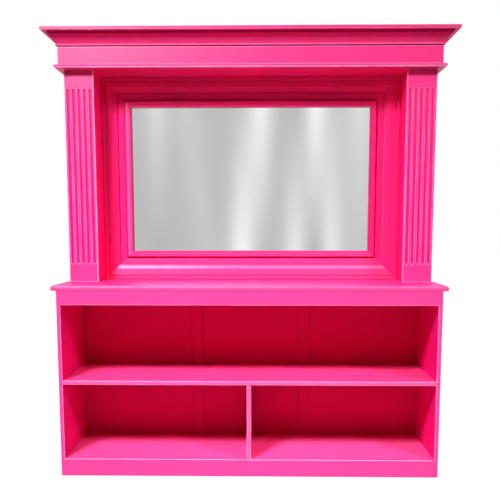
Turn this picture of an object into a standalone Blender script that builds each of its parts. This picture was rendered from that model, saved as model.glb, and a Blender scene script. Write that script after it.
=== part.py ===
"""Salon back bar: an open-shelf base carrying a hutch with fluted pilasters, a mirror and a cornice.

Units are metres. +Z is up, the front faces -Y and +X is the right-hand end seen from the front.
The origin is on the floor, under the middle of the footprint.
"""

import math

import bmesh
import bpy
from mathutils import Vector

# Driving dimensions of the base cabinet
BASE_WIDTH = 1.829
BASE_DEPTH = 0.483
COUNTER_HEIGHT = 0.930
COUNTER_THICKNESS = 0.024
COUNTER_SIDE_OVERHANG = 0.024
COUNTER_FRONT_LIP = 0.0015
COUNTER_NOSE_RADIUS = 0.009
COUNTER_LOWER_RADIUS = 0.003
BOARD_THICKNESS = 0.019
TOP_RAIL_HEIGHT = 0.0685
REAR_RAIL_HEIGHT = 0.060
MIDDLE_SHELF_TOP = 0.472
PLINTH_HEIGHT = 0.086
BACK_PANEL_THICKNESS = 0.012
BACK_PANEL_INSET = 0.032
BATTEN_WIDTH = 0.058
BATTEN_THICKNESS = 0.005
BATTEN_OFFSET = 0.287

# Driving dimensions of the hutch
HUTCH_SIDE_REACH = 0.0045
HUTCH_SETBACK = 0.275
HUTCH_HEIGHT = 1.044
HUTCH_BACK_THICKNESS = 0.009
REVEAL_THICKNESS = 0.016
CLEAT_HEIGHT = 0.040
CLEAT_DEPTH = 0.060
PILASTER_WIDTH = 0.147
PILASTER_THICKNESS = 0.022
FLUTE_COUNT = 5
FLUTE_PITCH = 0.0275
FLUTE_RADIUS = 0.0085
FLUTE_DEPTH = 0.0080
FLUTE_END_MARGIN = 0.089

# Driving dimensions of the mirror and its surround
SURROUND_WIDTH = 0.152
MIRROR_FRAME_WIDTH = 0.031
MIRROR_FRAME_RISE = 0.016
MIRROR_FRAME_EDGE_RADIUS = 0.003
MIRROR_FRAME_FLAT = 0.016
MIRROR_FRAME_STEP = 0.002
MIRROR_FRAME_INNER_RADIUS = 0.0015
CASING_BEAD_WIDTH = 0.019
CASING_BEAD_RADIUS = 0.004
CASING_BEAD_PROUD = 0.002
CASING_QUIRK_WIDTH = 0.004
CASING_QUIRK_DEPTH = 0.006
CASING_FLAT_RISE = 0.026
CASING_FLAT_WIDTH = 0.027
CASING_COVE_WIDTH = 0.024
CASING_COVE_DROP = 0.010
CASING_COVE_HOLLOW = 0.001
CASING_LIP_WIDTH = 0.004
CASING_STEP = 0.004
GLASS_THICKNESS = 0.005
GLASS_EDGE_COVER = 0.024
MIRROR_BACKING_THICKNESS = 0.003

# Driving dimensions of the cornice
SOFFIT_THICKNESS = 0.016
SOFFIT_FRONT_PROJECTION = 0.050
SOFFIT_SIDE_PROJECTION = 0.035
SOFFIT_NOSE_RADIUS = 0.006
FRIEZE_HEIGHT = 0.1525
FRIEZE_THICKNESS = 0.019
FRIEZE_PROJECTION = 0.0215
CORNICE_BACK_THICKNESS = 0.019
CROWN_HEIGHT = 0.060
CROWN_FOOT_PROJECTION = 0.007
CROWN_FOOT_HEIGHT = 0.008
CROWN_COVE_START = 0.004
CROWN_COVE_RUN = 0.0325
CROWN_COVE_HOLLOW = 0.003
CROWN_FILLET_HEIGHT = 0.003
CROWN_LIP_HEIGHT = 0.0085
CROWN_LIP_RUN = 0.0125
CAP_THICKNESS = 0.016
CAP_PROJECTION = 0.087
CAP_EDGE_RADIUS = 0.0025

# Workshop allowances
GAP = 0.0003
EASED_EDGE = 0.0008
NOSE_STEPS = 4
CURVE_STEPS = 6
FLUTE_SIDES = 16
FLUTE_RINGS = 7
SMOOTH_ANGLE = math.radians(35.0)

# Positions worked out from the driving dimensions
TOTAL_DEPTH = BASE_DEPTH + COUNTER_FRONT_LIP
BACK = TOTAL_DEPTH / 2
BASE_FRONT = BACK - BASE_DEPTH
HALF_WIDTH = BASE_WIDTH / 2
INSIDE = HALF_WIDTH - BOARD_THICKNESS - GAP
COUNTER_UNDERSIDE = COUNTER_HEIGHT - COUNTER_THICKNESS
CARCASE_TOP = COUNTER_UNDERSIDE - GAP
BACK_PANEL_FACE = BACK - BACK_PANEL_INSET - BACK_PANEL_THICKNESS
SHELF_BACK = BACK_PANEL_FACE - GAP
MIDDLE_SHELF_UNDERSIDE = MIDDLE_SHELF_TOP - BOARD_THICKNESS
PLINTH_BACK = BASE_FRONT + BOARD_THICKNESS
BOTTOM_SHELF_UNDERSIDE = PLINTH_HEIGHT - BOARD_THICKNESS

HUTCH_WIDTH = BASE_WIDTH + 2 * HUTCH_SIDE_REACH
HUTCH_HALF_WIDTH = HUTCH_WIDTH / 2
HUTCH_INSIDE = HUTCH_HALF_WIDTH - BOARD_THICKNESS - GAP
PILASTER_FRONT = BASE_FRONT + HUTCH_SETBACK
PILASTER_BACK = PILASTER_FRONT + PILASTER_THICKNESS
HUTCH_FOOT = COUNTER_HEIGHT + GAP
SOFFIT = COUNTER_HEIGHT + HUTCH_HEIGHT
HUTCH_TOP = SOFFIT - GAP
HUTCH_BACK_FACE = BACK - HUTCH_BACK_THICKNESS
NICHE_HALF_WIDTH = HUTCH_HALF_WIDTH - PILASTER_WIDTH

CASING_SEAT = HUTCH_BACK_FACE - GAP
GLASS_BACK = CASING_SEAT - MIRROR_BACKING_THICKNESS - GAP
GLASS_FACE = GLASS_BACK - GLASS_THICKNESS
FRAME_SEAT = GLASS_FACE - GAP
CASING_WIDTH = SURROUND_WIDTH - MIRROR_FRAME_WIDTH
CASING_RISE = CASING_FLAT_RISE + CASING_BEAD_PROUD
GLASS_INSET = SURROUND_WIDTH - GLASS_EDGE_COVER

SOFFIT_TOP = SOFFIT + SOFFIT_THICKNESS
CAP_UNDERSIDE = SOFFIT_TOP + FRIEZE_HEIGHT
FRIEZE_FRONT = PILASTER_FRONT - FRIEZE_PROJECTION
FRIEZE_HALF_WIDTH = HUTCH_HALF_WIDTH + FRIEZE_PROJECTION
CROWN_TOP = CAP_UNDERSIDE - GAP
CROWN_BOTTOM = CROWN_TOP - CROWN_HEIGHT
TOTAL_HEIGHT = CAP_UNDERSIDE + CAP_THICKNESS

# Finishes: colour, roughness and metallic value
PINK_PAINT = ((0.82, 0.045, 0.25), 0.36, 0.0)
PINK_PAINT_SATIN = ((0.80, 0.035, 0.21), 0.42, 0.0)
SILVERED_GLASS = ((0.72, 0.73, 0.74), 0.06, 1.0)
HARDBOARD = ((0.23, 0.12, 0.06), 0.75, 0.0)
BARE_PLYWOOD = ((0.62, 0.44, 0.26), 0.70, 0.0)


def clear_scene():
    """Remove every object of the scene that the script starts in."""
    for item in list(bpy.data.objects):
        bpy.data.objects.remove(item, do_unlink=True)


def add_group(name, location):
    """Add an empty that carries the pieces of one sub-assembly."""
    group = bpy.data.objects.new(name, None)
    group.location = location
    bpy.context.scene.collection.objects.link(group)
    return group


def make_finish(name, finish):
    """Make the material of one piece from its finish."""
    colour, roughness, metallic = finish
    material = bpy.data.materials.new(name + "_finish")
    material.use_nodes = True
    shader = material.node_tree.nodes["Principled BSDF"]
    shader.inputs["Base Color"].default_value = (*colour, 1.0)
    shader.inputs["Roughness"].default_value = roughness
    shader.inputs["Metallic"].default_value = metallic
    return material


def middle_of(mesh_points):
    """Give the middle of the box around some points."""
    low = Vector([min(point[axis] for point in mesh_points) for axis in range(3)])
    high = Vector([max(point[axis] for point in mesh_points) for axis in range(3)])
    return (low + high) / 2


def add_piece(name, shape, finish, group):
    """Turn a shape in world coordinates into a named piece with its origin at its own middle."""
    bmesh.ops.recalc_face_normals(shape, faces=shape.faces)
    if shape.calc_volume(signed=True) < 0.0:
        bmesh.ops.reverse_faces(shape, faces=shape.faces)
    middle = middle_of([vertex.co for vertex in shape.verts])
    bmesh.ops.translate(shape, verts=shape.verts, vec=-middle)
    mesh = bpy.data.meshes.new(name)
    shape.to_mesh(mesh)
    shape.free()
    mesh.shade_smooth()
    mesh.set_sharp_from_angle(angle=SMOOTH_ANGLE)
    mesh.materials.append(make_finish(name, finish))
    piece = bpy.data.objects.new(name, mesh)
    piece.parent = group
    piece.location = middle - group.location
    bpy.context.scene.collection.objects.link(piece)
    return piece


def box_shape(low, high):
    """Make a rectangular block between two corners."""
    shape = bmesh.new()
    bmesh.ops.create_cube(shape, size=1.0)
    size = Vector(high) - Vector(low)
    bmesh.ops.scale(shape, verts=shape.verts, vec=size)
    bmesh.ops.translate(shape, verts=shape.verts, vec=(Vector(low) + Vector(high)) / 2)
    return shape


def round_edges(shape, edges, radius, steps):
    """Round some edges of a shape."""
    bmesh.ops.bevel(
        shape, geom=edges, offset=radius, segments=steps, profile=0.5, affect="EDGES", material=-1
    )


def add_board(name, low, high, finish, group):
    """Add a sawn board with lightly eased edges."""
    shape = box_shape(low, high)
    round_edges(shape, shape.edges[:], EASED_EDGE, 1)
    return add_piece(name, shape, finish, group)


def is_free_edge(edge, level, back):
    """Tell whether an edge lies at a level, along the front or an end and not along the back."""
    on_level = all(math.isclose(vertex.co.z, level, abs_tol=1e-6) for vertex in edge.verts)
    on_back = all(math.isclose(vertex.co.y, back, abs_tol=1e-6) for vertex in edge.verts)
    return on_level and not on_back


def add_nosed_board(name, low, high, nosings, finish, group):
    """Add a board whose front and end edges are rounded at the given levels."""
    shape = box_shape(low, high)
    for level, radius in nosings:
        edges = [edge for edge in shape.edges if is_free_edge(edge, level, high[1])]
        round_edges(shape, edges, radius, NOSE_STEPS)
    return add_piece(name, shape, finish, group)


def add_moulding(name, starts, ends, finish, group):
    """Add a straight moulding from its cross-section at the start, drawn out to the one at the end."""
    shape = bmesh.new()
    section = shape.faces.new([shape.verts.new(point) for point in starts])
    drawn = bmesh.ops.extrude_face_region(shape, geom=[section], use_keep_orig=True)
    end_face = next(item for item in drawn["geom"] if isinstance(item, bmesh.types.BMFace))
    for vertex in end_face.verts:
        nearest = min(range(len(starts)), key=lambda index: (Vector(starts[index]) - vertex.co).length)
        vertex.co = Vector(ends[nearest])
    return add_piece(name, shape, finish, group)


def quarter_curve(start, end, bulge):
    """Give the points of a quarter ellipse from start to end.

    A hollow curve leaves the start along the second direction, and a bulging one along the first.
    """
    points = []
    for step in range(CURVE_STEPS + 1):
        angle = math.pi / 2 * step / CURVE_STEPS
        first = math.sin(angle) if bulge else 1.0 - math.cos(angle)
        second = 1.0 - math.cos(angle) if bulge else math.sin(angle)
        points.append((start[0] + (end[0] - start[0]) * first, start[1] + (end[1] - start[1]) * second))
    return points


def hollow_curve(start, end, hollow):
    """Give the points of a shallow hollow from start to end.

    It bends to the left of that way, or to the right where the hollow is negative.
    """
    chord = Vector(end) - Vector(start)
    inward = Vector((-chord.y, chord.x)).normalized()
    points = []
    for step in range(CURVE_STEPS + 1):
        share = step / CURVE_STEPS
        depth = hollow * 4.0 * share * (1.0 - share)
        points.append(tuple(Vector(start) + chord * share + inward * depth))
    return points


def casing_section():
    """Give the casing's cross-section as distance in from its outer edge and rise from its seat."""
    bead = CASING_BEAD_WIDTH
    radius = CASING_BEAD_RADIUS
    flat_start = bead + CASING_QUIRK_WIDTH
    quirk_level = CASING_FLAT_RISE - CASING_QUIRK_DEPTH
    cove_start = flat_start + CASING_FLAT_WIDTH
    cove_end = cove_start + CASING_COVE_WIDTH
    cove_level = CASING_FLAT_RISE - CASING_COVE_DROP
    lip_end = cove_end + CASING_LIP_WIDTH
    band_level = cove_level - CASING_STEP
    inner_edge = CASING_WIDTH - GAP
    section = [(0.0, 0.0)]
    section += quarter_curve((0.0, CASING_RISE - radius), (radius, CASING_RISE), False)
    section += quarter_curve((bead - radius, CASING_RISE), (bead, CASING_RISE - radius), True)
    section += [(bead, quirk_level), (flat_start, quirk_level), (flat_start, CASING_FLAT_RISE)]
    section += hollow_curve((cove_start, CASING_FLAT_RISE), (cove_end, cove_level), -CASING_COVE_HOLLOW)
    section += [(lip_end, cove_level), (lip_end, band_level), (inner_edge, band_level), (inner_edge, 0.0)]
    return section


def mirror_frame_section():
    """Give the mirror frame's cross-section as distance in from the casing's outer edge and rise."""
    outer = CASING_WIDTH
    rise = MIRROR_FRAME_RISE
    edge = MIRROR_FRAME_EDGE_RADIUS
    step_at = outer + MIRROR_FRAME_FLAT
    step_end = step_at + MIRROR_FRAME_STEP
    level = rise - MIRROR_FRAME_STEP
    inner = MIRROR_FRAME_INNER_RADIUS
    section = [(outer, 0.0)]
    section += quarter_curve((outer, rise - edge), (outer + edge, rise), False)
    section += quarter_curve((step_at, rise), (step_end, level), True)
    section += quarter_curve((SURROUND_WIDTH - inner, level), (SURROUND_WIDTH, level - inner), True)
    section += [(SURROUND_WIDTH, 0.0)]
    return section


def crown_section():
    """Give the crown's cross-section as projection from the frieze and height above its foot."""
    cove_end = CROWN_COVE_START + CROWN_COVE_RUN
    fillet_top = CROWN_HEIGHT - CROWN_LIP_HEIGHT
    fillet_foot = fillet_top - CROWN_FILLET_HEIGHT
    cove_foot = (CROWN_COVE_START, CROWN_FOOT_HEIGHT)
    lip_end = cove_end + CROWN_LIP_RUN
    section = [(GAP, 0.0), (CROWN_FOOT_PROJECTION, 0.0), (CROWN_FOOT_PROJECTION, CROWN_FOOT_HEIGHT)]
    section += hollow_curve(cove_foot, (cove_end, fillet_foot), CROWN_COVE_HOLLOW)
    section += quarter_curve((cove_end, fillet_top), (lip_end, CROWN_HEIGHT), False)
    section += [(GAP, CROWN_HEIGHT)]
    return section


def add_mitred_frame(name, section, seat, finish, group):
    """Add the four mitred members of a frame that lines the niche, from their common cross-section."""
    width = NICHE_HALF_WIDTH - GAP
    foot = HUTCH_FOOT
    top = HUTCH_TOP
    across_starts = [(-width + inset + GAP, seat - rise) for inset, rise in section]
    upright_ends = [(foot + inset + GAP, top - inset - GAP) for inset, rise in section]
    levels = {
        "bottom": [foot + inset for inset, rise in section],
        "top": [top - inset for inset, rise in section],
    }
    for side, heights in levels.items():
        starts = [(x, y, z) for (x, y), z in zip(across_starts, heights)]
        ends = [(-x, y, z) for x, y, z in starts]
        add_moulding(f"{name}_{side}", starts, ends, finish, group)
    for side, sign in (("left", -1.0), ("right", 1.0)):
        lines = [(sign * (width - inset), seat - rise) for inset, rise in section]
        starts = [(x, y, low) for (x, y), (low, high) in zip(lines, upright_ends)]
        ends = [(x, y, high) for (x, y), (low, high) in zip(lines, upright_ends)]
        add_moulding(f"{name}_{side}", starts, ends, finish, group)


def add_base_carcase(group):
    """Add the sides, rails, shelves and divider of the base cabinet."""
    for side, sign in (("left", -1.0), ("right", 1.0)):
        faces = sorted((sign * HALF_WIDTH, sign * (HALF_WIDTH - BOARD_THICKNESS)))
        low = (faces[0], BASE_FRONT, 0.0)
        high = (faces[1], BACK, CARCASE_TOP)
        add_board(f"base_side_{side}", low, high, PINK_PAINT_SATIN, group)
    add_board(
        "base_top_rail",
        (-INSIDE, BASE_FRONT, CARCASE_TOP - TOP_RAIL_HEIGHT),
        (INSIDE, BASE_FRONT + BOARD_THICKNESS, CARCASE_TOP),
        PINK_PAINT_SATIN,
        group,
    )
    add_board(
        "base_rear_rail",
        (-INSIDE, SHELF_BACK - BOARD_THICKNESS, CARCASE_TOP - REAR_RAIL_HEIGHT),
        (INSIDE, SHELF_BACK, CARCASE_TOP),
        PINK_PAINT_SATIN,
        group,
    )
    add_board(
        "middle_shelf",
        (-INSIDE, BASE_FRONT, MIDDLE_SHELF_UNDERSIDE),
        (INSIDE, SHELF_BACK, MIDDLE_SHELF_TOP),
        PINK_PAINT_SATIN,
        group,
    )
    add_board(
        "shelf_divider",
        (-BOARD_THICKNESS / 2, BASE_FRONT, PLINTH_HEIGHT + GAP),
        (BOARD_THICKNESS / 2, SHELF_BACK, MIDDLE_SHELF_UNDERSIDE - GAP),
        PINK_PAINT_SATIN,
        group,
    )
    add_board(
        "bottom_shelf",
        (-INSIDE, PLINTH_BACK + GAP, BOTTOM_SHELF_UNDERSIDE),
        (INSIDE, SHELF_BACK, PLINTH_HEIGHT),
        PINK_PAINT_SATIN,
        group,
    )


def add_plinth(group):
    """Add the plinth front and the bearers that hold the bottom shelf off the floor."""
    bearer_top = BOTTOM_SHELF_UNDERSIDE - GAP
    rear_face = SHELF_BACK - BOARD_THICKNESS
    add_board(
        "plinth_front",
        (-INSIDE, BASE_FRONT, 0.0),
        (INSIDE, PLINTH_BACK, PLINTH_HEIGHT),
        PINK_PAINT_SATIN,
        group,
    )
    add_board(
        "plinth_rear_bearer",
        (-INSIDE, rear_face, 0.0),
        (INSIDE, SHELF_BACK, bearer_top),
        BARE_PLYWOOD,
        group,
    )
    add_board(
        "plinth_centre_bearer",
        (-BOARD_THICKNESS / 2, PLINTH_BACK + GAP, 0.0),
        (BOARD_THICKNESS / 2, rear_face - GAP, bearer_top),
        BARE_PLYWOOD,
        group,
    )


def add_base_back(group):
    """Add the three back panels and the battens that cover their two seams inside the bays."""
    seam = GAP / 2
    spans = {
        "left": (-INSIDE, -BATTEN_OFFSET - seam),
        "centre": (-BATTEN_OFFSET + seam, BATTEN_OFFSET - seam),
        "right": (BATTEN_OFFSET + seam, INSIDE),
    }
    for place, (start, end) in spans.items():
        low = (start, BACK_PANEL_FACE, 0.0)
        high = (end, BACK_PANEL_FACE + BACK_PANEL_THICKNESS, CARCASE_TOP)
        add_board(f"base_back_panel_{place}", low, high, PINK_PAINT_SATIN, group)
    bays = {
        "upper": (MIDDLE_SHELF_TOP + GAP, CARCASE_TOP - REAR_RAIL_HEIGHT - GAP),
        "lower": (PLINTH_HEIGHT + GAP, MIDDLE_SHELF_UNDERSIDE - GAP),
    }
    for bay, (foot, top) in bays.items():
        for side, middle in (("left", -BATTEN_OFFSET), ("right", BATTEN_OFFSET)):
            low = (middle - BATTEN_WIDTH / 2, SHELF_BACK - BATTEN_THICKNESS, foot)
            high = (middle + BATTEN_WIDTH / 2, SHELF_BACK, top)
            add_board(f"back_batten_{bay}_{side}", low, high, PINK_PAINT_SATIN, group)


def add_counter(group):
    """Add the counter board with its rounded front and ends."""
    reach = HALF_WIDTH + COUNTER_SIDE_OVERHANG
    low = (-reach, BASE_FRONT - COUNTER_FRONT_LIP, COUNTER_UNDERSIDE)
    high = (reach, BACK, COUNTER_HEIGHT)
    nosings = ((COUNTER_HEIGHT, COUNTER_NOSE_RADIUS), (COUNTER_UNDERSIDE, COUNTER_LOWER_RADIUS))
    add_nosed_board("counter_top", low, high, nosings, PINK_PAINT, group)


def add_flute_cutter(name, middle_x, group):
    """Add the round-ended rods that cut a pilaster's flutes."""
    length = HUTCH_TOP - HUTCH_FOOT - 2 * FLUTE_END_MARGIN
    half_run = length / 2 - FLUTE_RADIUS
    axis_y = PILASTER_FRONT - FLUTE_RADIUS + FLUTE_DEPTH
    axis_z = (HUTCH_FOOT + HUTCH_TOP) / 2
    shape = bmesh.new()
    for index in range(FLUTE_COUNT):
        rod = bmesh.ops.create_uvsphere(
            shape, u_segments=FLUTE_SIDES, v_segments=FLUTE_RINGS, radius=FLUTE_RADIUS
        )
        axis_x = middle_x + (index - (FLUTE_COUNT - 1) / 2) * FLUTE_PITCH
        for vertex in rod["verts"]:
            vertex.co.z += math.copysign(half_run, vertex.co.z)
        bmesh.ops.translate(shape, verts=rod["verts"], vec=(axis_x, axis_y, axis_z))
    cutter = add_piece(name, shape, PINK_PAINT, group)
    cutter.hide_render = True
    cutter.display_type = "WIRE"
    return cutter


def add_pilaster(side, sign, group):
    """Add one box pilaster: its fluted face, outer side, inner reveal and fixing cleat."""
    outer = sign * HUTCH_HALF_WIDTH
    inner = sign * NICHE_HALF_WIDTH
    side_inner = outer - sign * BOARD_THICKNESS
    reveal_outer = inner + sign * REVEAL_THICKNESS
    box_front = PILASTER_BACK + GAP

    def block(name, x_faces, y_faces, top, finish):
        low_x, high_x = sorted(x_faces)
        low = (low_x, y_faces[0], HUTCH_FOOT)
        high = (high_x, y_faces[1], top)
        return add_board(f"{name}_{side}", low, high, finish, group)

    face = block("pilaster_face", (inner, outer), (PILASTER_FRONT, PILASTER_BACK), HUTCH_TOP, PINK_PAINT)
    flutes = face.modifiers.new("flutes", "BOOLEAN")
    flutes.operation = "DIFFERENCE"
    flutes.object = add_flute_cutter(f"flute_cutter_{side}", (inner + outer) / 2, group)
    block("hutch_side", (side_inner, outer), (box_front, BACK), HUTCH_TOP, PINK_PAINT_SATIN)
    block("niche_reveal", (inner, reveal_outer), (box_front, CASING_SEAT), HUTCH_TOP, PINK_PAINT_SATIN)
    cleat_faces = (reveal_outer + sign * GAP, side_inner - sign * GAP)
    cleat_top = HUTCH_FOOT + CLEAT_HEIGHT
    block("fixing_cleat", cleat_faces, (box_front, box_front + CLEAT_DEPTH), cleat_top, BARE_PLYWOOD)


def add_mirror(group):
    """Add the hutch back, the mirror glass with its backing, and the mitred surround."""
    add_board(
        "hutch_back_panel",
        (-HUTCH_INSIDE, HUTCH_BACK_FACE, HUTCH_FOOT),
        (HUTCH_INSIDE, BACK, HUTCH_TOP),
        BARE_PLYWOOD,
        group,
    )
    half_width = NICHE_HALF_WIDTH - GAP - GLASS_INSET
    foot = HUTCH_FOOT + GLASS_INSET
    top = HUTCH_TOP - GLASS_INSET
    backing_face = CASING_SEAT - MIRROR_BACKING_THICKNESS
    add_board(
        "mirror_backing",
        (-half_width, backing_face, foot),
        (half_width, CASING_SEAT, top),
        HARDBOARD,
        group,
    )
    add_board(
        "mirror_glass",
        (-half_width, GLASS_FACE, foot),
        (half_width, GLASS_BACK, top),
        SILVERED_GLASS,
        group,
    )
    add_mitred_frame("mirror_casing", casing_section(), CASING_SEAT, PINK_PAINT_SATIN, group)
    add_mitred_frame("mirror_frame", mirror_frame_section(), FRAME_SEAT, PINK_PAINT_SATIN, group)


def add_frieze(group):
    """Add the soffit board, the frieze boards that stand on it and the board that closes their back."""
    reach = HUTCH_HALF_WIDTH + SOFFIT_SIDE_PROJECTION
    low = (-reach, PILASTER_FRONT - SOFFIT_FRONT_PROJECTION, SOFFIT)
    high = (reach, BACK, SOFFIT_TOP)
    nosings = ((SOFFIT, SOFFIT_NOSE_RADIUS), (SOFFIT_TOP, SOFFIT_NOSE_RADIUS))
    add_nosed_board("soffit_board", low, high, nosings, PINK_PAINT_SATIN, group)
    foot = SOFFIT_TOP + GAP
    frieze_back = FRIEZE_FRONT + FRIEZE_THICKNESS
    add_board(
        "frieze_front",
        (-FRIEZE_HALF_WIDTH, FRIEZE_FRONT, foot),
        (FRIEZE_HALF_WIDTH, frieze_back, CROWN_TOP),
        PINK_PAINT,
        group,
    )
    for side, sign in (("left", -1.0), ("right", 1.0)):
        faces = sorted((sign * FRIEZE_HALF_WIDTH, sign * (FRIEZE_HALF_WIDTH - FRIEZE_THICKNESS)))
        low = (faces[0], frieze_back + GAP, foot)
        high = (faces[1], BACK, CROWN_TOP)
        add_board(f"frieze_return_{side}", low, high, PINK_PAINT, group)
    inside = FRIEZE_HALF_WIDTH - FRIEZE_THICKNESS - GAP
    add_board(
        "cornice_back",
        (-inside, BACK - CORNICE_BACK_THICKNESS, foot),
        (inside, BACK, CROWN_TOP),
        BARE_PLYWOOD,
        group,
    )


def add_crown(group):
    """Add the mitred crown moulding on the frieze and the cap board that covers it."""
    section = crown_section()
    starts = [
        (-FRIEZE_HALF_WIDTH - out + GAP, FRIEZE_FRONT - out, CROWN_BOTTOM + height)
        for out, height in section
    ]
    ends = [(-x, y, z) for x, y, z in starts]
    add_moulding("crown_front", starts, ends, PINK_PAINT_SATIN, group)
    for side, sign in (("left", -1.0), ("right", 1.0)):
        starts = [
            (sign * (FRIEZE_HALF_WIDTH + out), FRIEZE_FRONT - out + GAP, CROWN_BOTTOM + height)
            for out, height in section
        ]
        ends = [(x, BACK, z) for x, y, z in starts]
        add_moulding(f"crown_return_{side}", starts, ends, PINK_PAINT_SATIN, group)
    reach = HUTCH_HALF_WIDTH + CAP_PROJECTION
    low = (-reach, PILASTER_FRONT - CAP_PROJECTION, CAP_UNDERSIDE)
    high = (reach, BACK, TOTAL_HEIGHT)
    nosings = ((CAP_UNDERSIDE, CAP_EDGE_RADIUS), (TOTAL_HEIGHT, CAP_EDGE_RADIUS))
    add_nosed_board("cap_board", low, high, nosings, PINK_PAINT, group)


def main():
    """Build the back bar from the floor up."""
    clear_scene()
    base = add_group("base_cabinet", Vector((0.0, 0.0, 0.0)))
    add_base_carcase(base)
    add_plinth(base)
    add_base_back(base)
    add_counter(base)
    hutch = add_group("hutch", Vector((0.0, 0.0, COUNTER_HEIGHT)))
    for side, sign in (("left", -1.0), ("right", 1.0)):
        add_pilaster(side, sign, hutch)
    add_mirror(hutch)
    cornice = add_group("cornice", Vector((0.0, 0.0, SOFFIT)))
    add_frieze(cornice)
    add_crown(cornice)


if __name__ == "__main__":
    main()
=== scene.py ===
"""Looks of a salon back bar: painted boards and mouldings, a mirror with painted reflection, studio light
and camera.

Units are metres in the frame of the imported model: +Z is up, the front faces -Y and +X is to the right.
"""

import logging
import math
from collections.abc import Callable, Iterable, Mapping, Sequence
from dataclasses import dataclass
from enum import Enum, Flag, auto
from typing import NamedTuple

import bmesh
import bpy
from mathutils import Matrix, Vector


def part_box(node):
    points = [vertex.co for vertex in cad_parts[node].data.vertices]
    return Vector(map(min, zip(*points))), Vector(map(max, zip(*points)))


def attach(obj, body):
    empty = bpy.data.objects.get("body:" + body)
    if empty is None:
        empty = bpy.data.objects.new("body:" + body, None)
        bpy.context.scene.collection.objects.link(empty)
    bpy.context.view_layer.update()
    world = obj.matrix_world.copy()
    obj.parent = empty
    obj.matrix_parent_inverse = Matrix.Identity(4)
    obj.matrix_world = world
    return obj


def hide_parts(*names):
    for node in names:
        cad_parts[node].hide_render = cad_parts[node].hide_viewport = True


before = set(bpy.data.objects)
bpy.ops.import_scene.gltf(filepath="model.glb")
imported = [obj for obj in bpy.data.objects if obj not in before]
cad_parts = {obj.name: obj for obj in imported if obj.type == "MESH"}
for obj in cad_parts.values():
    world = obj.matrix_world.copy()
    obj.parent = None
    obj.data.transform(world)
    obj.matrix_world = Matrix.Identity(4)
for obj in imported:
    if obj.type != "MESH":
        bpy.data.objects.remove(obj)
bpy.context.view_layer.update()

LOG = logging.getLogger("back_bar")
BODY = "root"
# Each face's mark: above 0 for wear and painted highlight, below 0 for painted shade.
WEAR_AND_PAINTED_LIGHT = "wear_and_painted_light"
SMOOTH_ANGLE = math.radians(40.0)
ARRIS_ANGLE = math.radians(50.0)
PARALLEL = 0.999
TOUCH = 1e-6
# The mark of full painted shade.
FULL_SHADE = -1.0
BEYOND = 1.0
PANEL_ARRIS = 0.0010
UNIT = (0.0, 1.0)
NOISE_MIDDLE = (0.3, 0.7)
FORWARD = Vector((0.0, -1.0, 0.0))
UP = Vector((0.0, 0.0, 1.0))
SIDES = {"left": -1.0, "right": 1.0}

Colour = tuple[float, float, float]
Point = tuple[float, float, float]
Pair = tuple[float, float]
Span = tuple[float, float]
Section = list[Pair]
Socket = bpy.types.NodeSocket


class Patch(NamedTuple):
    """A strip of a section, with how much it is worn and given painted highlight, or painted shade where
    negative.
    """

    depth: Span
    rise: Span
    level: float


class Face(Flag):
    """The faces of a board as they lie in the frame."""

    NONE = 0
    LEFT = auto()
    RIGHT = auto()
    FRONT = auto()
    BACK = auto()
    FOOT = auto()
    TOP = auto()


FACE_SIDES = {
    Face.LEFT: (0, False),
    Face.RIGHT: (0, True),
    Face.FRONT: (1, False),
    Face.BACK: (1, True),
    Face.FOOT: (2, False),
    Face.TOP: (2, True),
}


class Shade(NamedTuple):
    """Painted shade on a board's side that darkens along an axis, from none at one level to full at
    another.
    """

    side: Face
    axis: int
    clean: float
    dark: float
    level: float


class Run(Enum):
    """The way a board runs, as the stretch of its brush marks and grain along X, Y and Z."""

    ACROSS = (0.03, 1.0, 1.0)
    DEEP = (1.0, 0.03, 1.0)
    UPRIGHT = (1.0, 1.0, 0.03)

    @classmethod
    def of(cls, size: Vector) -> "Run":
        """Give the run of a board from its size: along its longest side."""
        return (cls.ACROSS, cls.DEEP, cls.UPRIGHT)[max(range(3), key=lambda axis: abs(size[axis]))]


class Mitre(Enum):
    """How the end of a moulding is cut: square, or at 45 degrees for an inner or outer corner."""

    SQUARE = 0.0
    INSIDE = 1.0
    OUTSIDE = -1.0


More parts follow.
